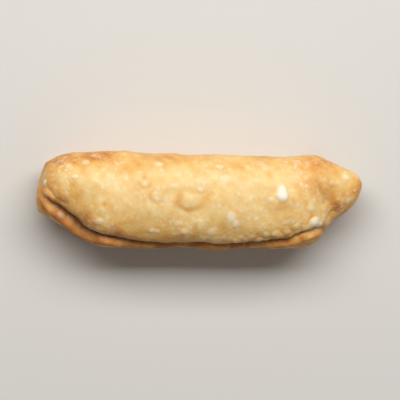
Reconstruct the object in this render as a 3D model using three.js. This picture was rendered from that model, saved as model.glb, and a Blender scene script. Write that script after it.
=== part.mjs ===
// A deep-fried egg roll, which is a large spring roll: a wheat dough wrapper rolled round a filling.
// It is one closed solid, because the wrapper is whole and the filling inside it doesn't show.
// The bare body is straight, with shoulders, a blunt left end and a pointed ear at the right end.
// On it lie the folds of the wrapper. The main one is the free edge of the last turn, the flap: it comes
// down over the front, and the turn under it swells out below the edge as a lip.
// +X is along the roll, +Y is its back, +Z is up. Lengths are in millimetres and angles in degrees.
import * as THREE from "three";

const LENGTH = 107;
const WIDTH = 32.6;
const HEIGHT = 27;
const HALF_LENGTH = LENGTH / 2;
const HALF_WIDTH = WIDTH / 2;

// How square each cross section is: 2 is an ellipse.
const FULLNESS = 2.35;
// The length over which a corner of an outline bends.
const BEND = 1.0;
// How far the blunt left end and the pointed right end take to close, in plan and from the side.
const WIDTH_CLOSES = [1.3, 2.2];
const HEIGHT_CLOSES = [3.6, 2.6];
// The left end is askew: a point there moves along X by this rate for each millimetre behind the pivot.
const SKEW = { rate: 0.25, pivot: 0.5, from: -46, over: 7 };

// Steps of the surface round the roll, over each end and along the rest.
const STEPS_ROUND = 60;
const STEPS_END = 6;
const STEPS_ALONG = 84;
// The steps round the roll crowd towards the edge of the flap and follow it. Those farthest from it stay
// opposite this angle.
const CROWD = 0.42;
const STILL_ANGLE = 130;

const outline = (reach, shares) =>
  shares.map(([along, share]) => [along * HALF_LENGTH, share * reach]);

// The corners of the body in plan and from the side, as shares of its half length and of the reach given.
const BACK = outline(HALF_WIDTH, [
  [-1.0, 0.75],
  [-0.87, 0.84],
  [-0.775, 0.985],
  [-0.57, 1.0],
  [0.53, 0.885],
  [0.72, 0.935],
  [0.8, 0.79],
  [0.955, 0.59],
  [1.0, 0.46],
]);
const FRONT = outline(HALF_WIDTH, [
  [-1.0, -0.2],
  [-0.94, -0.26],
  [-0.83, -0.49],
  [-0.75, -0.72],
  [-0.6, -0.91],
  [0.64, -0.94],
  [0.725, -0.82],
  [0.826, -0.39],
  [0.89, -0.265],
  [0.955, -0.05],
  [1.0, 0.2],
]);
const TOP = outline(HEIGHT, [
  [-1.0, 0.63],
  [-0.85, 0.8],
  [-0.64, 0.975],
  [-0.08, 1.0],
  [0.45, 0.98],
  [0.68, 0.89],
  [0.87, 0.69],
  [1.0, 0.56],
]);
const BOTTOM = outline(HEIGHT, [
  [-1.0, 0.14],
  [-0.85, 0.045],
  [-0.64, -0.026],
  [0.6, -0.026],
  [0.79, 0.095],
  [1.0, 0.28],
]);

// A fold is a line on the body. Its flap side rounds down to the line over the width slope, and the other
// side climbs away from it over the width under. A swelling lies off the line on that other side.
// Each place is over x, y in plan, or at x and an angle from the back over the top.
const FOLDS = [
  // The edge of the flap, from the left end along the front to the tip of the ear.
  {
    under: 1.5,
    swell: { height: 0.45, off: -2.5, width: 1.5 },
    places: [
      { x: -53.3, angle: 0, depth: 0, slope: 1.5 },
      { x: -53.35, angle: 50, depth: 0.2, slope: 1.5 },
      { x: -52.3, y: 2.4, depth: 0.6, slope: 2 },
      { x: -50.4, y: 1, depth: 1.3, slope: 3.5 },
      { x: -48.2, y: -0.8, depth: 2.2, slope: 5 },
      { x: -45.1, y: -3.6, depth: 3.3, slope: 8 },
      { x: -41.7, y: -7.3, depth: 3.9, slope: 11 },
      { x: -38.8, y: -9.6, depth: 3.7, slope: 10.5 },
      { x: -35.3, y: -11.1, depth: 3.1, slope: 8.5 },
      { x: -31.6, y: -11.7, depth: 2.7, slope: 7 },
      { x: -27.8, y: -12, depth: 2.3, slope: 6 },
      { x: -22, y: -13.2, depth: 2, slope: 5 },
      { x: -14, y: -13.8, depth: 1.8, slope: 4.4 },
      { x: 0, y: -13.8, depth: 1.7, slope: 4.2 },
      { x: 14, y: -13.8, depth: 1.6, slope: 4.2 },
      { x: 22.4, y: -13.1, depth: 1.5, slope: 4.4 },
      { x: 28, y: -12, depth: 1.4, slope: 4.6 },
      { x: 34, y: -9.6, depth: 1.2, slope: 4 },
      { x: 36.6, y: -8.8, depth: 1, slope: 3.5 },
      { x: 39.4, y: -8.3, depth: 0.7, slope: 3 },
      { x: 42, angle: 176, depth: 0.7, slope: 2 },
      { x: 47, angle: 182, depth: 0.5, slope: 2 },
      { x: 51, angle: 184, depth: 0, slope: 2 },
    ],
  },
  // A tuck in the turn under the flap at the left end.
  {
    under: 1.2,
    swell: { height: 0.3, off: -2, width: 1 },
    places: [
      { x: -52.6, y: 1, depth: 0, slope: 1.5 },
      { x: -51.3, y: -1.4, depth: 0.8, slope: 1.5 },
      { x: -49, y: -4.4, depth: 0.7, slope: 1.5 },
      { x: -46, y: -7.4, depth: 0, slope: 1.5 },
    ],
  },
  // The valley between the body and the ear.
  {
    under: 2.6,
    swell: { height: 0.2, off: -4, width: 2 },
    places: [
      { x: 36.5, y: 7.5, depth: 0, slope: 4 },
      { x: 39.8, y: 3.6, depth: 0.9, slope: 4.5 },
      { x: 42, y: 0.4, depth: 1.6, slope: 5 },
      { x: 43.8, y: -3.4, depth: 1.4, slope: 4 },
    ],
  },
];
// The place from which the edge of the flap runs along the roll.
const EDGE_START = 2;
// The length of the straight pieces that a fold's line is made of.
const FOLD_STEP = 1.2;
// How suddenly the flap turns down at its edge: the power of the curve across it.
const TURN_DOWN = 2.3;

// Slow lumps of the filling under the dough: wave lengths along X, Y and Z, a phase, and a height.
const LUMPS = [
  { waves: [31, 47, 40], phase: 0.6, height: 0.3 },
  { waves: [17, 29, 33], phase: 2.1, height: 0.15 },
];

// Blisters large enough to be forms of their own.
const BLISTERS = [
  { x: -4.1, y: 1.1, radius: 3.4, height: 0.36 },
  { x: -14.5, y: 3.1, radius: 2.4, height: 0.2 },
  { x: -18.5, y: 7.1, radius: 1.8, height: 0.2 },
  { x: 25.9, y: 3.6, radius: 2.4, height: 0.8 },
  { x: 37.2, y: -6.2, radius: 2.3, height: 0.7 },
  { x: 9.8, y: -4.6, radius: 2, height: 0.25 },
];

const radians = THREE.MathUtils.degToRad;
const slopeBetween = (a, b) => (b[1] - a[1]) / (b[0] - a[0]);
const ramp = (t) => BEND * Math.log1p(Math.exp(t / BEND));
const bell = (t) => Math.exp(-t * t);

// A line that is straight between its corners and turns softly at each one.
function softLine(corners, x) {
  let slope = slopeBetween(corners[0], corners[1]);
  let value = corners[0][1] + slope * (x - corners[0][0]);
  for (let i = 1; i + 1 < corners.length; i++) {
    const next = slopeBetween(corners[i], corners[i + 1]);
    value += (next - slope) * ramp(x - corners[i][0]);
    slope = next;
  }
  return value;
}

// How an end closes over the given stretches: as a quarter ellipse does.
function closing(x, over) {
  const pastLeft = (over[0] - HALF_LENGTH - x) / over[0];
  const pastRight = (over[1] - HALF_LENGTH + x) / over[1];
  const past = Math.min(Math.max(pastLeft, pastRight, 0), 1);
  return Math.sqrt(1 - past * past);
}

// The middles and half sizes of the section at x.
function section(x) {
  const back = softLine(BACK, x);
  const front = softLine(FRONT, x);
  const top = softLine(TOP, x);
  const bottom = softLine(BOTTOM, x);
  return {
    y: (back + front) / 2,
    z: (top + bottom) / 2,
    halfWidth: ((back - front) / 2) * closing(x, WIDTH_CLOSES),
    halfHeight: ((top - bottom) / 2) * closing(x, HEIGHT_CLOSES),
  };
}

function skew(x, y) {
  const share = THREE.MathUtils.clamp((SKEW.from - x) / SKEW.over, 0, 1);
  return SKEW.rate * ramp(y - SKEW.pivot) * share;
}

// Each section is a superellipse. The angle goes from the back over the top to the front.
function bodyPoint(x, angle) {
  const { y: middle, z, halfWidth, halfHeight } = section(x);
  const square = (t) => Math.sign(t) * Math.abs(t) ** (2 / FULLNESS);
  const y = middle + halfWidth * square(Math.cos(angle));
  return new THREE.Vector3(x + skew(x, y), y, z + halfHeight * square(Math.sin(angle)));
}

function angleOver(x, y) {
  const { y: middle, halfWidth } = section(x);
  const share = THREE.MathUtils.clamp((y - middle) / halfWidth, -1, 1);
  return Math.acos(Math.sign(share) * Math.abs(share) ** (FULLNESS / 2));
}

const pointOver = ({ x, y }) => bodyPoint(x, angleOver(x, y));

// Where the rows of the surface lie along the roll, closest together over the ends.
function rowPlaces() {
  const places = [];
  const [leftStretch, rightStretch] = WIDTH_CLOSES;
  const left = leftStretch - HALF_LENGTH;
  const right = HALF_LENGTH - rightStretch;
  for (let i = 1; i < STEPS_END; i++)
    places.push(left - leftStretch * Math.cos(radians((90 * i) / STEPS_END)));
  for (let i = 0; i <= STEPS_ALONG; i++)
    places.push(left + ((right - left) * i) / STEPS_ALONG);
  for (let i = STEPS_END - 1; i > 0; i--)
    places.push(right + rightStretch * Math.cos(radians((90 * i) / STEPS_END)));
  return places;
}

// The bare body as one closed grid of rows between two poles. Its first column runs along the flap's edge.
function bareBody() {
  const edge = FOLDS[0].places
    .slice(EDGE_START)
    .map(({ x, y, angle }) => [x, angle === undefined ? angleOver(x, y) : radians(angle)]);
  const rows = rowPlaces();
  const points = [bodyPoint(-HALF_LENGTH, 0)];
  for (const x of rows)
    for (let j = 0; j < STEPS_ROUND; j++) {
      const turn = (2 * Math.PI * j) / STEPS_ROUND;
      const near = (1 + Math.cos(turn)) / 2;
      const start = THREE.MathUtils.lerp(radians(STILL_ANGLE), softLine(edge, x), near);
      points.push(bodyPoint(x, start + turn - CROWD * Math.sin(turn)));
    }
  points.push(bodyPoint(HALF_LENGTH, 0));

  const faces = [];
  const at = (i, j) => 1 + i * STEPS_ROUND + (j % STEPS_ROUND);
  const pole = points.length - 1;
  for (let j = 0; j < STEPS_ROUND; j++) {
    faces.push(0, at(0, j + 1), at(0, j));
    faces.push(pole, at(rows.length - 1, j), at(rows.length - 1, j + 1));
  }
  for (let i = 0; i + 1 < rows.length; i++)
    for (let j = 0; j < STEPS_ROUND; j++) {
      faces.push(at(i, j), at(i, j + 1), at(i + 1, j));
      faces.push(at(i, j + 1), at(i + 1, j + 1), at(i + 1, j));
    }
  const body = new THREE.BufferGeometry().setFromPoints(points);
  body.setIndex(faces);
  body.computeVertexNormals();
  return body;
}

// A fold's line as short straight pieces, each with the depth and slope of the fold there.
function foldLine({ places }) {
  const points = places.map(({ x, y, angle }) =>
    angle === undefined ? pointOver({ x, y }) : bodyPoint(x, radians(angle)),
  );
  const curve = new THREE.CatmullRomCurve3(points);
  const count = Math.ceil(curve.getLength() / FOLD_STEP);
  const stops = [];
  for (let i = 0; i <= count; i++) {
    const along = (i / count) * (places.length - 1);
    const k = Math.min(Math.floor(along), places.length - 2);
    const between = (key) => THREE.MathUtils.lerp(places[k][key], places[k + 1][key], along - k);
    stops.push({ point: curve.getPoint(i / count), depth: between("depth"), slope: between("slope") });
  }
  return stops;
}

// How far a point of the body is from a fold's line, above 0 on the side of the flap, and what the fold
// is like there.
function fromFold(stops, point, outwards) {
  let nearest = { off: Infinity };
  for (let i = 0; i + 1 < stops.length; i++) {
    const line = new THREE.Line3(stops[i].point, stops[i + 1].point);
    const t = line.closestPointToPointParameter(point, true);
    const offset = point.clone().sub(line.at(t, new THREE.Vector3()));
    if (offset.length() >= Math.abs(nearest.off)) continue;
    const side = outwards.clone().cross(line.delta(new THREE.Vector3())).dot(offset);
    nearest = {
      off: side < 0 ? -offset.length() : offset.length(),
      depth: THREE.MathUtils.lerp(stops[i].depth, stops[i + 1].depth, t),
      slope: THREE.MathUtils.lerp(stops[i].slope, stops[i + 1].slope, t),
    };
  }
  return nearest;
}

// A swelling less a groove, whose flap side turns down ever more steeply and whose other side is a bell.
function foldHeight({ under, swell }, { off, depth, slope }) {
  const inward = THREE.MathUtils.clamp(1 - off / slope, 0, 1);
  const groove = off > 0 ? inward ** TURN_DOWN : bell(off / under);
  return Math.min(depth, 1) * swell.height * bell((off - swell.off) / swell.width) - depth * groove;
}

const lumpHeight = ({ x, y, z }) =>
  LUMPS.reduce(
    (sum, { waves, phase, height }) =>
      sum +
      height *
        Math.sin((2 * Math.PI * x) / waves[0] + phase) *
        Math.sin((2 * Math.PI * y) / waves[1] + 2 * phase) *
        Math.cos((2 * Math.PI * z) / waves[2] + phase),
    0,
  );

function blisterHeight({ radius, height }, distance) {
  const t = Math.min(distance / radius, 1);
  return height * (1 - t * t) ** 0.8;
}

function eggRollGeometry() {
  const body = bareBody();
  const position = body.getAttribute("position");
  const normal = body.getAttribute("normal");
  const lines = FOLDS.map(foldLine);
  const centres = BLISTERS.map(pointOver);
  const point = new THREE.Vector3();
  const outwards = new THREE.Vector3();
  for (let i = 0; i < position.count; i++) {
    point.fromBufferAttribute(position, i);
    outwards.fromBufferAttribute(normal, i);
    let height = lumpHeight(point);
    FOLDS.forEach((fold, k) => {
      height += foldHeight(fold, fromFold(lines[k], point, outwards));
    });
    BLISTERS.forEach((blister, k) => {
      height += blisterHeight(blister, point.distanceTo(centres[k]));
    });
    point.addScaledVector(outwards, height);
    // The underside is flat where the roll lies on its own weight.
    position.setXYZ(i, point.x, point.y, Math.max(point.z, 0));
  }
  body.computeBoundingBox();
  const centre = body.boundingBox.getCenter(new THREE.Vector3());
  body.translate(-centre.x, -centre.y, 0);
  body.computeVertexNormals();
  return body;
}

const friedDough = new THREE.MeshStandardMaterial({
  color: 0xe7b566,
  roughness: 0.5,
  metalness: 0,
});

const eggRoll = new THREE.Mesh(eggRollGeometry(), friedDough);
eggRoll.name = "egg_roll";

const part = new THREE.Group();
part.add(eggRoll);
export default part;
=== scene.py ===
# A deep-fried egg roll, which is a large spring roll in a thick wheat dough wrapper. It lies on its
# underside, with the free edge of its wrapper along the front.
import math

import bpy
import numpy as np
from mathutils import Matrix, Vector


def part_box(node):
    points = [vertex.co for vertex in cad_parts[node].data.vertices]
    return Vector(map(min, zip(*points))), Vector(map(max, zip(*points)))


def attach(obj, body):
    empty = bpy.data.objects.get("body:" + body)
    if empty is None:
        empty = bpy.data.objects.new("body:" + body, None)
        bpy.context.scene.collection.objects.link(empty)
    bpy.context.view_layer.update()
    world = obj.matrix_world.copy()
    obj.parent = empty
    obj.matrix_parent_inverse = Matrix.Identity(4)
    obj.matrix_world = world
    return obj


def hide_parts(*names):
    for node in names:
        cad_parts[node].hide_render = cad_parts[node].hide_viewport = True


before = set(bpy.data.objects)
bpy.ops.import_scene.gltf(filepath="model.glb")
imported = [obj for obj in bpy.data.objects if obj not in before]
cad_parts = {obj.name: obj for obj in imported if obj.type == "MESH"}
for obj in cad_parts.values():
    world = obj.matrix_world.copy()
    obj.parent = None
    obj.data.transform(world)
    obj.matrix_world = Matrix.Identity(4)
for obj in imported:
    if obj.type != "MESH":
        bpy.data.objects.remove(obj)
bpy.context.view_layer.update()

# The rolled body
# A square of wheat dough rolled round its filling: straight, with shoulders where the filling
# stops. The left end is folded in and blunt, and at the right end one corner of the dough stands
# out as an ear.

# Sizes are in millimetres. BEYOND is how much larger the bare form is than the finished roll.
MM = 0.001
BEYOND = np.array([0.19, 0.93, -0.25])
low, high = (np.array(corner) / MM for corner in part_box("egg_roll"))
LENGTH, WIDTH, HEIGHT = high - low + BEYOND
HALF_LENGTH = LENGTH / 2
HALF_WIDTH = WIDTH / 2

# The bare form is one superellipse section after another along the roll. Its outlines from above
# and from the side are shares of half the length, and of half the width or the height.
FULLNESS = 2.35
BEND = 1.0
BACK = np.array([
    (-1.0, 0.75), (-0.87, 0.84), (-0.775, 0.985), (-0.57, 1.0), (0.53, 0.885),
    (0.72, 0.935), (0.8, 0.79), (0.955, 0.59), (1.0, 0.46),
]) * (HALF_LENGTH, HALF_WIDTH)
FRONT = np.array([
    (-1.0, -0.2), (-0.94, -0.26), (-0.83, -0.49), (-0.75, -0.72), (-0.6, -0.91), (0.64, -0.94),
    (0.725, -0.82), (0.826, -0.39), (0.89, -0.265), (0.955, -0.05), (1.0, 0.2),
]) * (HALF_LENGTH, HALF_WIDTH)
TOP = np.array([
    (-1.0, 0.63), (-0.85, 0.8), (-0.64, 0.975), (-0.08, 1.0),
    (0.45, 0.98), (0.68, 0.89), (0.87, 0.69), (1.0, 0.56),
]) * (HALF_LENGTH, HEIGHT)
BOTTOM = np.array([
    (-1.0, 0.14), (-0.85, 0.045), (-0.64, -0.026), (0.6, -0.026), (0.79, 0.095), (1.0, 0.28),
]) * (HALF_LENGTH, HEIGHT)

# The stretch over which the left and the right end close, in width and in height, and how the
# left end is askew.
WIDTH_CLOSES = (1.3, 2.2)
HEIGHT_CLOSES = (3.6, 2.6)
SKEW_RATE = 0.25
SKEW_PIVOT = 0.5
SKEW_FROM = -46
SKEW_OVER = 7


def rise(value, start, over):
    """0 up to start, then in a straight line to 1 over this stretch, and 1 from there on."""
    return np.clip((value - start) / over, 0, 1)


def soft_line(corners, x):
    """Straight between its corners and rounded at each: the first straight line, plus at each
    corner the change of slope times a soft ramp, BEND * log(1 + exp((x - corner) / BEND))."""
    at, value = corners.T
    slopes = np.diff(value) / np.diff(at)
    line = value[0] + slopes[0] * (x - at[0])
    for corner, turn in zip(at[1:-1], np.diff(slopes)):
        line = line + turn * BEND * np.logaddexp(0, (x - corner) / BEND)
    return line


def closing(x, over):
    """How an end closes, as a quarter ellipse: sqrt(1 - past^2), where past goes from 0 to 1 over
    the last stretch of each end."""
    past = np.maximum(1 - (x + HALF_LENGTH) / over[0], 1 - (HALF_LENGTH - x) / over[1])
    return np.sqrt(1 - np.clip(past, 0, 1) ** 2)


def section(x):
    """Middle in y and z, half width and half height at x."""
    back, front, top, bottom = (soft_line(corners, x) for corners in (BACK, FRONT, TOP, BOTTOM))
    half_width = (back - front) / 2 * closing(x, WIDTH_CLOSES)
    half_height = (top - bottom) / 2 * closing(x, HEIGHT_CLOSES)
    return (back + front) / 2, (top + bottom) / 2, half_width, half_height


def skew(x, y):
    """The left end is askew: over SKEW_OVER from SKEW_FROM on, a point behind SKEW_PIVOT comes to
    move along x by SKEW_RATE for each millimetre that it is behind it, with a soft start."""
    behind = BEND * np.logaddexp(0, (y - SKEW_PIVOT) / BEND)
    return SKEW_RATE * behind * rise(SKEW_FROM - x, 0, SKEW_OVER)


def body_point(x, angle):
    """A superellipse: y and z are the middle plus the half size times the sign of the cosine or
    sine times its size to the power 2 / FULLNESS. The angle goes from the back over the top."""
    y, z, half_width, half_height = section(x)
    across, up = np.cos(angle), np.sin(angle)
    y = y + half_width * np.sign(across) * np.abs(across) ** (2 / FULLNESS)
    z = z + half_height * np.sign(up) * np.abs(up) ** (2 / FULLNESS)
    return np.stack(np.broadcast_arrays(x + skew(x, y), y, z), axis=-1)


def angle_over(x, y):
    """The superellipse's angle turned back from y, on the body's upper side."""
    middle, _, half_width, _ = section(x)
    share = np.clip((y - middle) / half_width, -1, 1)
    return np.arccos(np.sign(share) * np.abs(share) ** (FULLNESS / 2))


def point_over(x, y):
    return body_point(x, angle_over(x, y))


def grid_normals(points):
    """Outward unit normals of a closed grid: the cross product of its steps round and along."""
    around = np.roll(points, -1, axis=1) - np.roll(points, 1, axis=1)
    along = np.gradient(points, axis=0)
    normals = np.cross(around, along)
    return normals / np.maximum(np.linalg.norm(normals, axis=-1, keepdims=True), 1e-9)


# The edge of the flap as it runs along the roll: x and y, the depth of the crevice under it, and
# how wide the flap's side of the crevice is.
FLAP_EDGE = np.array([
    (-52.3, 2.4, 0.6, 2), (-50.4, 1, 1.3, 3.5), (-48.2, -0.8, 2.2, 5), (-45.1, -3.6, 3.3, 8),
    (-41.7, -7.3, 3.9, 11), (-38.8, -9.6, 3.7, 10.5), (-35.3, -11.1, 3.1, 8.5),
    (-31.6, -11.7, 2.7, 7), (-27.8, -12, 2.3, 6), (-22, -13.2, 2, 5), (-14, -13.8, 1.8, 4.4),
    (0, -13.8, 1.7, 4.2), (14, -13.8, 1.6, 4.2), (22.4, -13.1, 1.5, 4.4), (28, -12, 1.4, 4.6),
    (34, -9.6, 1.2, 4), (36.6, -8.8, 1, 3.5), (39.4, -8.3, 0.7, 3),
])

# The grid of the surface. Its rows lie closer at the two ends. Its columns crowd towards the
# flap's edge and follow it, and on the far side they keep to the place that goes with STILL_ANGLE.
COLUMNS = 248
ROWS_END = 32
ROWS_ALONG = 336
CROWD = 0.35
STILL_ANGLE = math.radians(130)

quarter = np.linspace(0, np.pi / 2, ROWS_END + 1)[1:]
left_rows = -HALF_LENGTH + WIDTH_CLOSES[0] * (1 - np.cos(quarter))
right_rows = HALF_LENGTH - WIDTH_CLOSES[1] * (1 - np.cos(quarter[::-1]))
middle_rows = np.linspace(left_rows[-1], right_rows[0], ROWS_ALONG + 1)[1:-1]
rows = np.concatenate([left_rows, middle_rows, right_rows])

edge_x, edge_y = FLAP_EDGE[:, :2].T
edge_angles = np.stack([edge_x, angle_over(edge_x, edge_y)], axis=1)
turn = np.linspace(0, 2 * np.pi, COLUMNS, endpoint=False)
near = (1 + np.cos(turn)) / 2
start = STILL_ANGLE * (1 - near) + soft_line(edge_angles, rows)[:, None] * near
bare = body_point(rows[:, None], start + turn - CROWD * np.sin(turn))
bare_normals = grid_normals(bare)

# The folds of the wrapper
# The last turn of dough, the flap, ends in a free edge that runs along the front and round the
# blunt end. It was sealed with a wet edge and fried shut, and the turn under it swells out as a
# lip. A fold is a groove along a line, wider or narrower on the flap's side, with a swelling.
FOLD_STEP = 0.6
FOLD_SHARPNESS = 1.5
TURN_DOWN = 2.3
WAVE_SPREAD = (0.75, 1.35)


def waves(points, length, seed, count=32):
    """A smooth random field of about unit size: the sum of plane waves of about this length, with
    random directions and phases, times sqrt(2 / count)."""
    rng = np.random.default_rng(seed)
    directions = rng.normal(size=(count, 3))
    directions /= np.linalg.norm(directions, axis=1, keepdims=True)
    numbers = 2 * np.pi / (length * rng.uniform(*WAVE_SPREAD, count))
    phases = rng.uniform(0, 2 * np.pi, count)
    field = np.zeros(points.shape[:-1])
    for direction, number, phase in zip(directions, numbers, phases):
        field += np.sin(points @ (direction * number) + phase)
    return field * math.sqrt(2 / count)


def bell(t, power=2):
    return np.exp(-np.abs(t) ** power)


def fold_line(places):
    """A Catmull-Rom curve through the places of a fold, each (x, across, depth, slope), where
    slope is how wide the groove is on the flap's side. across is y, or before "angle" it is
    degrees from the back over the top."""
    stops = []
    for x, across, depth, slope, *angled in places:
        point = body_point(x, math.radians(across)) if angled else point_over(x, across)
        stops.append([*np.ravel(point), depth, slope])
    stops = np.array(stops)
    stops = np.vstack([2 * stops[0] - stops[1], stops, 2 * stops[-1] - stops[-2]])
    line = [stops[1][None]]
    for a, b, c, d in zip(stops, stops[1:], stops[2:], stops[3:]):
        steps = math.ceil(np.linalg.norm((c - b)[:3]) / FOLD_STEP)
        t = np.linspace(0, 1, steps + 1)[1:, None]
        line.append(b + (c - a) / 2 * t + (a - 2.5 * b + 2 * c - d / 2) * t**2
                    + (1.5 * (b - c) + (d - a) / 2) * t**3)
    return np.vstack(line)


def from_fold(line, points, normals):
    """Distance from a fold's line, above 0 on the flap's side, and the fold's depth and slope at
    the nearest place. The side is the sign of
    (normal x direction of the line) . (point - nearest place)."""
    off = np.full(points.shape[:-1], np.inf)
    side = np.ones(points.shape[:-1])
    depth = np.zeros(points.shape[:-1])
    slope = np.ones(points.shape[:-1])
    for start, end in zip(line, line[1:]):
        step = end[:3] - start[:3]
        t = np.clip((points - start[:3]) @ step / (step @ step), 0, 1)
        offset = points - start[:3] - t[..., None] * step
        distance = np.linalg.norm(offset, axis=-1)
        nearer = distance < off
        off = np.where(nearer, distance, off)
        side = np.where(nearer, np.einsum("...i,...i", np.cross(normals, step), offset), side)
        depth = np.where(nearer, start[3] + t * (end[3] - start[3]), depth)
        slope = np.where(nearer, start[4] + t * (end[4] - start[4]), slope)
    return np.where(side < 0, -off, off), depth, slope


def fold_height(off, depth, slope, under, swell):
    """A swelling less the groove. On the flap's side the groove goes down ever more steeply over
    slope, depth * (1 - off / slope)^TURN_DOWN, and on the other side it is a bell as wide as
    under. The swelling is a bell too: its height, its place off the line and its width."""
    nose = np.clip(1 - off / slope, 0, 1) ** TURN_DOWN
    groove = np.where(off > 0, nose, bell(off / under, FOLD_SHARPNESS))
    tall, place, width = swell
    return np.minimum(depth, 1) * tall * bell((off - place) / width) - depth * groove


flap_line = fold_line([
    (-53.3, 0, 0, 1.5, "angle"), (-53.35, 50, 0.2, 1.5, "angle"),
    *FLAP_EDGE,
    (42, 176, 0.7, 2, "angle"), (47, 182, 0.5, 2, "angle"), (51, 184, 0, 2, "angle"),
])
tuck_line = fold_line([
    (-52.6, 1, 0, 1.5), (-51.3, -1.4, 0.8, 1.5), (-49, -4.4, 0.7, 1.5), (-46, -7.4, 0, 1.5),
])
crimp_line = fold_line([
    (-51.6, 6.2, 0, 2), (-49.8, 4.4, 0.55, 2), (-47.6, 2.4, 0.5, 2.4), (-44.6, 0.8, 0.2, 3),
    (-41.8, -0.2, 0, 3),
])
ear_line = fold_line([
    (36.5, 7.5, 0, 4), (39.8, 3.6, 0.9, 4.5), (42, 0.4, 1.6, 5), (43.8, -3.4, 1.4, 4),
])

# The flap's edge wanders by WANDER, and is ragged as well, more so on the right.
WANDER = 0.18
RAGGED_LEFT = 0.05
RAGGED_GAIN = 0.2
RAGGED_FROM = 4
RAGGED_OVER = 10
FLAP_UNDER = 1.2
FLAP_SWELL = (0.45, -2.3, 1.5)
SMALL_FOLDS = (
    (tuck_line, 0.9, (0.3, -1.8, 1)),
    (crimp_line, 0.9, (0.3, -1.4, 0.9)),
    (ear_line, 2.6, (0.2, -4, 2)),
)
SMALL_WANDER = 0.2

flap_off, flap_depth, flap_slope = from_fold(flap_line, bare, bare_normals)
ragged = RAGGED_LEFT + RAGGED_GAIN * rise(bare[..., 0], RAGGED_FROM, RAGGED_OVER)
flap_off += WANDER * waves(bare, 8, seed=3) + ragged * waves(bare, 3.2, seed=4)
fold = fold_height(flap_off, flap_depth, flap_slope, FLAP_UNDER, FLAP_SWELL)
for line, under, swell in SMALL_FOLDS:
    off, depth, slope = from_fold(line, bare, bare_normals)
    off += SMALL_WANDER * waves(bare, 5, seed=5)
    fold += fold_height(off, depth, slope, under, swell)

# Slow lumps of the filling, and wrinkles that the dough took as it shrank in the oil. The largest
# lumps are the product of three waves of LUMP_LENGTHS, one along each axis.
LUMP = 0.3
LUMP_LENGTHS = (31, 47, 40)
LUMP_PHASES = (0.6, 1.2, 0.6)
lump_x, lump_y, lump_z = np.moveaxis(2 * np.pi * bare / LUMP_LENGTHS + LUMP_PHASES, -1, 0)
lumps = (
    LUMP * np.sin(lump_x) * np.sin(lump_y) * np.cos(lump_z)
    + 0.16 * waves(bare, 14, seed=6)
    + 0.05 * waves(bare, 6, seed=7)
)
folded = bare + bare_normals * (fold + lumps)[..., None]
folded_normals = grid_normals(folded)

# The blisters
# Water in the dough boils under the skin and lifts it in blisters, from a fine foam all over to
# one of 8 mm in the middle of the top. The skin of a tall one is thinner and paler than the crust
# round it, and the foot of a wide one is browner, with painted shade on its front and left side.
# Each is a dome on an ellipse.

# A blister is worked out in a band of rows, BAND radii to each side, and RIM_AT of its radius is
# where the browning of its foot lies. That foot is painted darker in front and on the left as
# shade, on the side away from the light.
BAND = 1.6
UNEVENNESS = 0.04
PALE_SPREAD = 1.3
RIM_AT = 0.9
RIM_WIDTH = 0.25
RIM_ROUND = 0.5
RIM_SHADE_IN_FRONT = 0.6
RIM_SHADE_ON_LEFT = 0.25

height = np.zeros(folded.shape[:-1])
pale = np.zeros_like(height)
burnt_and_shade = np.zeros_like(height)
uneven = waves(folded, 4, seed=8)


def raise_blister(centre, radii, tall, power=0.9, paleness=0.0, rim=0.0):
    """Raises one blister in a band of rows by tall * (1 - t^2)^power, where t^2 is
    (along / first radius)^2 + (across / second radius)^2, made uneven. Its top is pale by
    paleness, and rim browns its foot and adds painted shade to it, most in front and on the left."""
    reach = max(radii) * BAND
    row = centre[0] - skew(centre[0], centre[1])
    band = slice(*np.searchsorted(rows, (row - reach, row + reach)))
    offset = folded[band] - centre
    along = offset[..., 0]
    across = np.sqrt(np.maximum((offset**2).sum(-1) - along**2, 0))
    t = np.sqrt((along / radii[0]) ** 2 + (across / radii[1]) ** 2)
    t *= 1 + UNEVENNESS * uneven[band]
    dome = tall * np.maximum(1 - t**2, 0) ** power
    top = paleness * np.clip(PALE_SPREAD * (1 - t**2), 0, 1)
    side = RIM_ROUND - RIM_SHADE_IN_FRONT * offset[..., 1] / radii[1] - RIM_SHADE_ON_LEFT * along / radii[0]
    foot = rim * np.clip(side, 0, 1) * bell((t - RIM_AT) / RIM_WIDTH)
    for field, blister in ((height, dome), (pale, top), (burnt_and_shade, foot)):
        field[band] = np.maximum(field[band], blister)


def on_lip(middle, width):
    """A bell across the lip, its middle this far below the flap's edge, as deep as the fold is."""
    return bell((flap_off + middle) / width) * np.clip(flap_depth, 0, 1)


# Blisters stand in patches of PATCH, and few are on the lip, so a place of the grid is drawn by
# its area and by how many there are round it.
PATCH = 16
PATCH_MIDDLE = 1.15
PATCH_LEAST = 0.15
LIP_SPARED = 0.9
rng = np.random.default_rng(11)
steps_round = np.linalg.norm(np.roll(folded, -1, axis=1) - folded, axis=-1)
steps_along = np.linalg.norm(np.gradient(folded, axis=0), axis=-1)
patches = (PATCH_MIDDLE + waves(folded, PATCH, seed=12)).clip(PATCH_LEAST)
weights = steps_round * steps_along * patches * (1 - LIP_SPARED * on_lip(3, 3))
weights = weights.ravel() / weights.sum()


def scatter(count, smallest, largest, steepness, tallness, power, paleness):
    """Blisters at random places of the skin. A radius is smallest + (largest - smallest) *
    u^steepness for an even random u, so large ones are rare, and the height is a random share of
    the radius."""
    places = rng.choice(weights.size, count, p=weights)
    radii = smallest + (largest - smallest) * rng.random(count) ** steepness
    shares = rng.uniform(*tallness, count)
    lights = paleness * rng.random(count) ** 2.5
    for place, radius, share, light in zip(places, radii, shares, lights):
        stretch = rng.uniform(0.8, 1.25)
        centre = folded.reshape(-1, 3)[place]
        raise_blister(centre, (radius * stretch, radius / stretch), radius * share, power, light)


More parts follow.
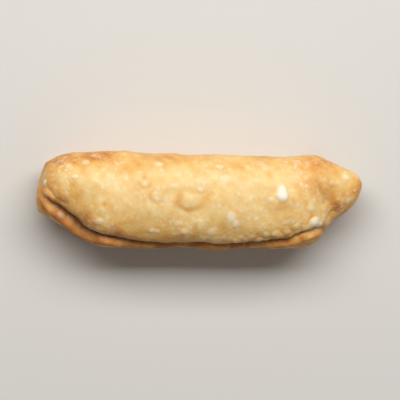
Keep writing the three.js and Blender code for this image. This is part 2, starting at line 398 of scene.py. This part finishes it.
scatter(3600, smallest=0.4, largest=1.0, steepness=1.8, tallness=(0.03, 0.08), power=1.5,
        paleness=0.4)
scatter(220, smallest=0.8, largest=1.7, steepness=2.0, tallness=(0.05, 0.11), power=1.4,
        paleness=0.3)

# The blisters along the right half of the flap's edge, where the dough is thinnest, run into one
# another. Each is a random step behind the edge.
EDGE_BLISTERS_AT = np.arange(11, 37, 1.9)
EDGE_BLISTER_TALL = 0.17
for at in EDGE_BLISTERS_AT:
    x = at + rng.uniform(-0.8, 0.8)
    nearest = flap_line[np.argmin(np.abs(flap_line[:, 0] - x))]
    radius = rng.uniform(1.3, 2.3)
    centre = np.ravel(point_over(x, nearest[1] + rng.uniform(1.0, 3.6)))
    radii = (radius, radius * rng.uniform(0.7, 1))
    raise_blister(centre, radii, radius * EDGE_BLISTER_TALL, power=1.1, paleness=0.05, rim=0.35)

# The larger blisters one by one: x and y, the radii along and across, and the height.
LARGE_BLISTERS = (
    (-4.1, 1.1, (4.2, 2.9), 0.36, dict(power=1.2, rim=0.5)),
    (-14.5, 3.1, (2.8, 2.1), 0.2, dict(power=1.3, rim=0.4)),
    (-18.5, 7.1, (1.9, 1.6), 0.15, dict(power=1.2, rim=0.3)),
    (-18.5, 7.1, (0.8, 0.8), 0.22, dict(paleness=0.4)),
    (-9.0, 6.2, (1.7, 0.9), 0.12, dict(paleness=0.35)),
    (-0.7, 5.0, (1.4, 1.0), 0.16, dict(paleness=0.3, rim=0.4)),
    (5.4, -0.3, (0.9, 0.7), 0.16, dict(paleness=0.35)),
    (7.6, 8.7, (1.9, 1.6), 0.12, dict(power=1.2, paleness=0.3)),
    (25.9, 4.2, (1.9, 2.6), 0.7, dict(power=0.8, paleness=0.95)),
    (25.9, 2.9, (2.2, 2.1), 0.8, dict(power=0.8, paleness=1.0)),
    (22.2, 1.8, (1.1, 0.9), 0.2, dict(paleness=0.4)),
    (36.9, -5.9, (2.3, 2.0), 0.7, dict(power=0.9, paleness=0.9)),
    (38.6, -6.7, (1.9, 1.5), 0.35, dict(power=1.0, paleness=0.6)),
    (9.3, -3.9, (1.9, 2.3), 0.25, dict(paleness=0.5)),
    (10.9, -6.2, (1.2, 1.7), 0.25, dict(paleness=0.4)),
    (-33.2, -5.4, (1.7, 1.4), 0.25, dict(paleness=0.3)),
    (-39.6, -4.9, (1.6, 1.2), 0.3, dict(paleness=0.25)),
    (-16.0, -8.5, (1.4, 1.2), 0.25, dict(paleness=0.35)),
    (-14.5, -8.6, (1.1, 1.0), 0.2, dict(paleness=0.3)),
    (-5.9, -8.6, (1.4, 1.3), 0.25, dict(paleness=0.25)),
    (3.0, -9.0, (1.8, 1.7), 0.25, dict(paleness=0.22)),
    (-7.8, -5.9, (1.7, 1.1), 0.15, dict(paleness=0.2)),
    (-1.3, -5.3, (2.3, 0.9), 0.15, dict(paleness=0.15)),
    (28.4, -5.8, (3.0, 1.2), 0.12, dict(power=1.4, paleness=0.15, rim=0.2)),
    (35.4, -1.2, (1.6, 1.4), 0.2, dict(paleness=0.2)),
    (40.9, -0.9, (0.9, 1.7), 0.2, dict(paleness=0.25)),
    (-13.9, 12.7, (1.7, 1.2), 0.2, dict(paleness=0.35)),
    (5.7, 12.1, (1.8, 1.2), 0.2, dict(paleness=0.35, rim=0.3)),
    (-37.4, 13.4, (1.5, 1.2), 0.2, dict(paleness=0.35)),
    (-40.8, 8.8, (1.3, 0.9), 0.25, dict(paleness=0.5, rim=0.3)),
    (-51.6, 6.6, (0.9, 1.2), 0.3, dict(paleness=0.8)),
    (-43.0, 12.1, (1.4, 1.0), 0.2, dict(paleness=0.3)),
    (17.7, 8.0, (1.4, 1.2), 0.15, dict(paleness=0.2)),
    (31.1, 9.2, (1.4, 1.1), 0.15, dict(paleness=0.2)),
    (47.6, 8.3, (1.3, 1.0), 0.2, dict(paleness=0.5)),
    (42.8, 6.6, (1.5, 1.2), 0.15, dict(paleness=0.2)),
    (48.3, 0.5, (1.0, 1.4), 0.25, dict(paleness=0.35)),
    (50.4, 3.9, (1.2, 0.8), 0.25, dict(paleness=0.35, rim=0.3)),
)
for x, y, radii, tall, options in LARGE_BLISTERS:
    raise_blister(np.ravel(point_over(x, y)), radii, tall, **options)

# The finest skin: an uneven grain of about 2 mm between the blisters. The underside lies flat.
GRAIN = 0.03
FINE_GRAIN = 0.012
grain = GRAIN * np.abs(waves(folded, 2.2, seed=21, count=48))
grain += FINE_GRAIN * waves(folded, 1.4, seed=22, count=48)
skin = folded + folded_normals * (height + grain)[..., None]
skin[..., 2] = np.maximum(skin[..., 2], 0)

# How brown the crust is, and painted shade
# Frying browns what is thin or stands out: the two ends, the back's upper edge, the lip and the
# rims of blisters. The broad top stays straw yellow, and a lifted skin is paler. The front side
# is made browner as painted shade, and the lip and the rims of blisters partly so. The shares of
# all these add up to one value for each vertex, which is kept on the mesh.
TOAST_BASE = 0.04
x, y, z = np.moveaxis(bare, -1, 0)
back = rise(y, 9, 6)
toast_and_shade = np.full_like(x, TOAST_BASE)
for share, browned_and_shaded in (
    (0.14, rise(-x, 36, 16)),
    (0.14, rise(x, 32, 18)),
    (0.22, back),
    (0.2, back * rise(-x, 15, 25)),
    # painted shade: the front side, away from the light, made browner
    (0.28, rise(-y, 2, 10)),
    # the lip: browning, made darker still as painted shade
    (0.26, on_lip(2.8, 2.6)),
    (0.1, rise(-z, -10, 10)),
    (0.05, waves(bare, 11, seed=31)),
    (0.05, waves(bare, 4, seed=32)),
    # feet of blisters: browning, with painted shade on their front and left
    (0.3, burnt_and_shade),
    (-0.2, rise(height, 0, 0.3)),
):
    toast_and_shade += share * browned_and_shaded

# Single browner and paler spots: x and y, the reach, and the share. The browner spots on the
# flap's left slope above the crevice, along the front of the flap and on the ear's front are
# painted shade.
SPOTS_AND_SHADE = (
    (-48.5, 4.5, 5, 0.25), (-44.5, -0.2, 5, 0.3), (-38, -4.5, 5, 0.3), (-38, 9.7, 6, -0.12),
    (-31.6, 0.5, 0.9, 0.4), (-26, -9, 7, 0.14), (-18.8, 8.8, 0.9, 0.35), (-4.2, 0.8, 3, 0.2),
    (3.3, 4.1, 0.8, 0.2), (7.6, -0.9, 1.8, 0.18), (14, 6.7, 8, -0.06), (23.8, 13.1, 5, 0.05),
    (26, -9, 4, 0.1), (31, 4.5, 5, 0.12), (37, 5, 4, 0.1), (34, -5, 5, 0.12),
    (40.5, 11.5, 6, 0.25), (37.5, -10.8, 2.5, -0.25), (42.5, 2.5, 4, 0.12),
    (46.5, -2.4, 5, 0.3), (47, 6.4, 4, -0.17), (-36.5, 14, 3, 0.14), (-48.5, 11.8, 3.5, 0.16),
    (-46.5, 8.2, 3, -0.1), (51.6, 5.4, 3, 0.2),
)
for spot_x, spot_y, reach, share in SPOTS_AND_SHADE:
    toast_and_shade += share * bell(np.hypot(x - spot_x, y - spot_y) / reach)

# The bottom of the crevice under the flap is painted dark as shade, the more so the deeper it is.
CREASE_SHADE = 0.7
CREASE_UNDER = 0.7
CREASE_BEHIND = 0.3
CREASE_SLOPE = 0.17
CREASE_FULL_DEPTH = 1.8
crease_width = np.where(flap_off > 0, CREASE_SLOPE * flap_slope + CREASE_BEHIND, CREASE_UNDER)
crease_shade = CREASE_SHADE * rise(bell(flap_off / crease_width) * flap_depth, 0, CREASE_FULL_DEPTH)

# The piece itself, a closed grid with a fan at each end.
PALE_SHARE = 0.9
BURNT_AND_SHADE_SHARE = 0.55
count = skin.shape[0] * COLUMNS
place = np.arange(count).reshape(-1, COLUMNS)
after = np.roll(place, -1, axis=1)
quads = np.stack([place[:-1], after[:-1], after[1:], place[1:]], axis=-1).reshape(-1, 4)
left_fan = np.stack([np.full(COLUMNS, count), after[0], place[0]], axis=-1)
right_fan = np.stack([np.full(COLUMNS, count + 1), place[-1], after[-1]], axis=-1)
vertices = np.vstack([skin.reshape(-1, 3), skin[0].mean(0), skin[-1].mean(0)])
vertices[:, :2] += ((low + high - vertices.min(0) - vertices.max(0)) / 2)[:2]

mesh = bpy.data.meshes.new("egg_roll_crust")
mesh.from_pydata(vertices * MM, [], quads.tolist() + left_fan.tolist() + right_fan.tolist())
mesh.polygons.foreach_set("use_smooth", np.ones(len(mesh.polygons), bool))
for name, field in (
    ("toast_and_shade", toast_and_shade), ("pale", PALE_SHARE * pale), ("burnt_and_shade", BURNT_AND_SHADE_SHARE * burnt_and_shade),
    ("crease_shade", crease_shade),
):
    values = np.append(field.ravel(), [field[0].mean(), field[-1].mean()]).astype(np.float32)
    mesh.attributes.new(name, "FLOAT", "POINT").data.foreach_set("value", values)
mesh.update()
crust = bpy.data.objects.new("egg_roll_crust", mesh)
bpy.context.scene.collection.objects.link(crust)


def linear(code):
    """An sRGB hex colour as linear red, green, blue and alpha."""
    shares = [int(code[i : i + 2], 16) / 255 for i in (0, 2, 4)]
    return [s / 12.92 if s <= 0.04045 else ((s + 0.055) / 1.055) ** 2.4 for s in shares] + [1]


def add(tree, kind, links=None, inputs=None, **settings):
    """Adds a node with its settings, its input values and its links, and returns it."""
    node = tree.nodes.new(kind)
    for key, value in settings.items():
        setattr(node, key, value)
    for key, value in (inputs or {}).items():
        node.inputs[key].default_value = value
    for key, source in (links or {}).items():
        tree.links.new(source, node.inputs[key])
    return node


# Deep-fried wheat dough: a dry, brittle crust with a little oil on it, which makes its gloss
# uneven. It is straw yellow where it is thick, golden to orange brown where it is thin, and cream
# where a blister has lifted the skin. Noise of three sizes makes the browning uneven. A real crumb
# is finer than CRUMB, which is as coarse as it needs to be to show.
MOTTLES = ((9.0, 0.18), (3.0, 0.14), (0.9, 0.24))
FRIED = (
    ("F6DBA0", 0.0), ("F1CF8C", 0.25), ("EAB968", 0.5), ("E09A4A", 0.75), ("A65C24", 1.0),
)
# The first colour is the lifted skin's own cream. The second browns the feet of blisters and adds
# painted shade on their front and left, and the third is painted shade at the bottom of the
# crevice.
STAINS_AND_SHADE = (("pale", "F7EFDC"), ("burnt_and_shade", "B46A2C"), ("crease_shade", "74400F"))
OIL_PATCH = 1.5
CRUMB = 0.45
CRUMB_DEPTH = 0.1

dough = bpy.data.materials.new("deep_fried_wheat_dough")
dough.use_nodes = True
tree = dough.node_tree
tree.nodes.clear()
here = add(tree, "ShaderNodeTexCoord").outputs["Object"]


def noise(size, detail):
    """Noise with patches of this size in millimetres."""
    scale = 1 / (size * MM)
    node = add(tree, "ShaderNodeTexNoise", {"Vector": here}, {"Scale": scale, "Detail": detail})
    return node.outputs["Fac"]


browned_and_shaded = add(tree, "ShaderNodeAttribute", attribute_name="toast_and_shade").outputs["Fac"]
for size, amount in MOTTLES:
    browned_and_shaded = add(tree, "ShaderNodeMath", {0: noise(size, 3.0), 2: browned_and_shaded}, {1: amount},
                  operation="MULTIPLY_ADD").outputs[0]
ramp = add(tree, "ShaderNodeValToRGB", {"Fac": browned_and_shaded})
ramp.color_ramp.interpolation = "B_SPLINE"
for code, at in FRIED[1:-1]:
    ramp.color_ramp.elements.new(at)
for element, (code, at) in zip(ramp.color_ramp.elements, FRIED):
    element.color = linear(code)
colour = ramp.outputs["Color"]
for name, code in STAINS_AND_SHADE:
    share = add(tree, "ShaderNodeAttribute", attribute_name=name).outputs["Fac"]
    colour = add(tree, "ShaderNodeMix", {"Factor": share, 6: colour}, {7: linear(code)},
                 data_type="RGBA").outputs[2]

roughness = add(tree, "ShaderNodeMapRange", {"Value": noise(OIL_PATCH, 3.0)},
                {"To Min": 0.42, "To Max": 0.65})
bumps = add(tree, "ShaderNodeBump", {"Height": noise(CRUMB, 2.0)},
            {"Strength": 0.2, "Distance": CRUMB_DEPTH * MM})
shader = add(
    tree,
    "ShaderNodeBsdfPrincipled",
    {"Base Color": colour, "Roughness": roughness.outputs[0], "Normal": bumps.outputs[0]},
    {"IOR": 1.42, "Coat Weight": 0.05, "Coat Roughness": 0.25, "Subsurface Weight": 0.1,
     "Subsurface Radius": (1.0, 0.5, 0.2), "Subsurface Scale": 1.5 * MM},
)
add(tree, "ShaderNodeOutputMaterial", {"Surface": shader.outputs[0]})
mesh.materials.append(dough)

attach(crust, "root")
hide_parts("egg_roll")

# The floor, the light and the camera
# A plain pale floor under soft light from above and behind. The camera looks almost straight
# down, as the photograph does, and stands so that the roll fills most of the frame.
FLOOR_SIZE = 3.0
PAPER = "DEDAD3"
PAPER_ROUGHNESS = 0.9
floor_mesh = bpy.data.meshes.new("floor")
corners = np.array([(-1, -1, 0), (1, -1, 0), (1, 1, 0), (-1, 1, 0)]) * (FLOOR_SIZE / 2)
floor_mesh.from_pydata(corners, [], [(0, 1, 2, 3)])
floor = bpy.data.objects.new("floor", floor_mesh)
bpy.context.scene.collection.objects.link(floor)
paper = bpy.data.materials.new("matt_white_paper")
paper.use_nodes = True
matt = paper.node_tree.nodes["Principled BSDF"]
matt.inputs["Base Color"].default_value = linear(PAPER)
matt.inputs["Roughness"].default_value = PAPER_ROUGHNESS
floor_mesh.materials.append(paper)


def aim(thing, target):
    """Turns a lamp or camera to look at the target with +X on its right: its axes are the way
    back from the target, +X squared to that way, and their cross product."""
    back_way = np.array(thing.location) - np.array(target)
    back_way /= np.linalg.norm(back_way)
    right = np.array([1, 0, 0]) - back_way[0] * back_way
    right /= np.linalg.norm(right)
    axes = np.stack([right, np.cross(back_way, right), back_way], axis=1)
    thing.rotation_euler = Matrix(axes).to_euler()


# Each lamp's place, size in metres and power in watts, and the even light of the room.
LAMPS = (
    ("window", (0.02, 0.5, 0.7), (1.3, 0.4), 10.0),
    ("fill", (0.4, -0.4, 0.8), (0.8, 0.8), 0.5),
)
ROOM_LIGHT = 0.11
middle = np.array([0, 0, HEIGHT / 2]) * MM
for name, spot, size, power in LAMPS:
    lamp = bpy.data.lights.new(name, "AREA")
    lamp.shape = "RECTANGLE"
    lamp.size, lamp.size_y = size
    lamp.energy = power
    lamp_object = bpy.data.objects.new(name, lamp)
    lamp_object.location = spot
    aim(lamp_object, middle)
    bpy.context.scene.collection.objects.link(lamp_object)

world = bpy.data.worlds.new("studio")
world.use_nodes = True
world.node_tree.nodes["Background"].inputs["Color"].default_value = linear("FFFFFF")
world.node_tree.nodes["Background"].inputs["Strength"].default_value = ROOM_LIGHT
bpy.context.scene.world = world
bpy.context.scene.view_settings.view_transform = "Standard"

CAMERA_DISTANCE = 1.0
CAMERA_LEAN = (-5.0, 5.0)
FILL_SHARE = 0.82
camera = bpy.data.cameras.new("camera")
camera_object = bpy.data.objects.new("camera", camera)
lean = [math.tan(math.radians(degrees)) for degrees in CAMERA_LEAN]
direction = np.array([*lean, 1]) / np.linalg.norm([*lean, 1])
camera_object.location = middle + CAMERA_DISTANCE * direction
aim(camera_object, middle)
camera.angle = 2 * math.atan(LENGTH * MM / FILL_SHARE / 2 / CAMERA_DISTANCE)
bpy.context.scene.collection.objects.link(camera_object)
bpy.context.scene.camera = camera_object
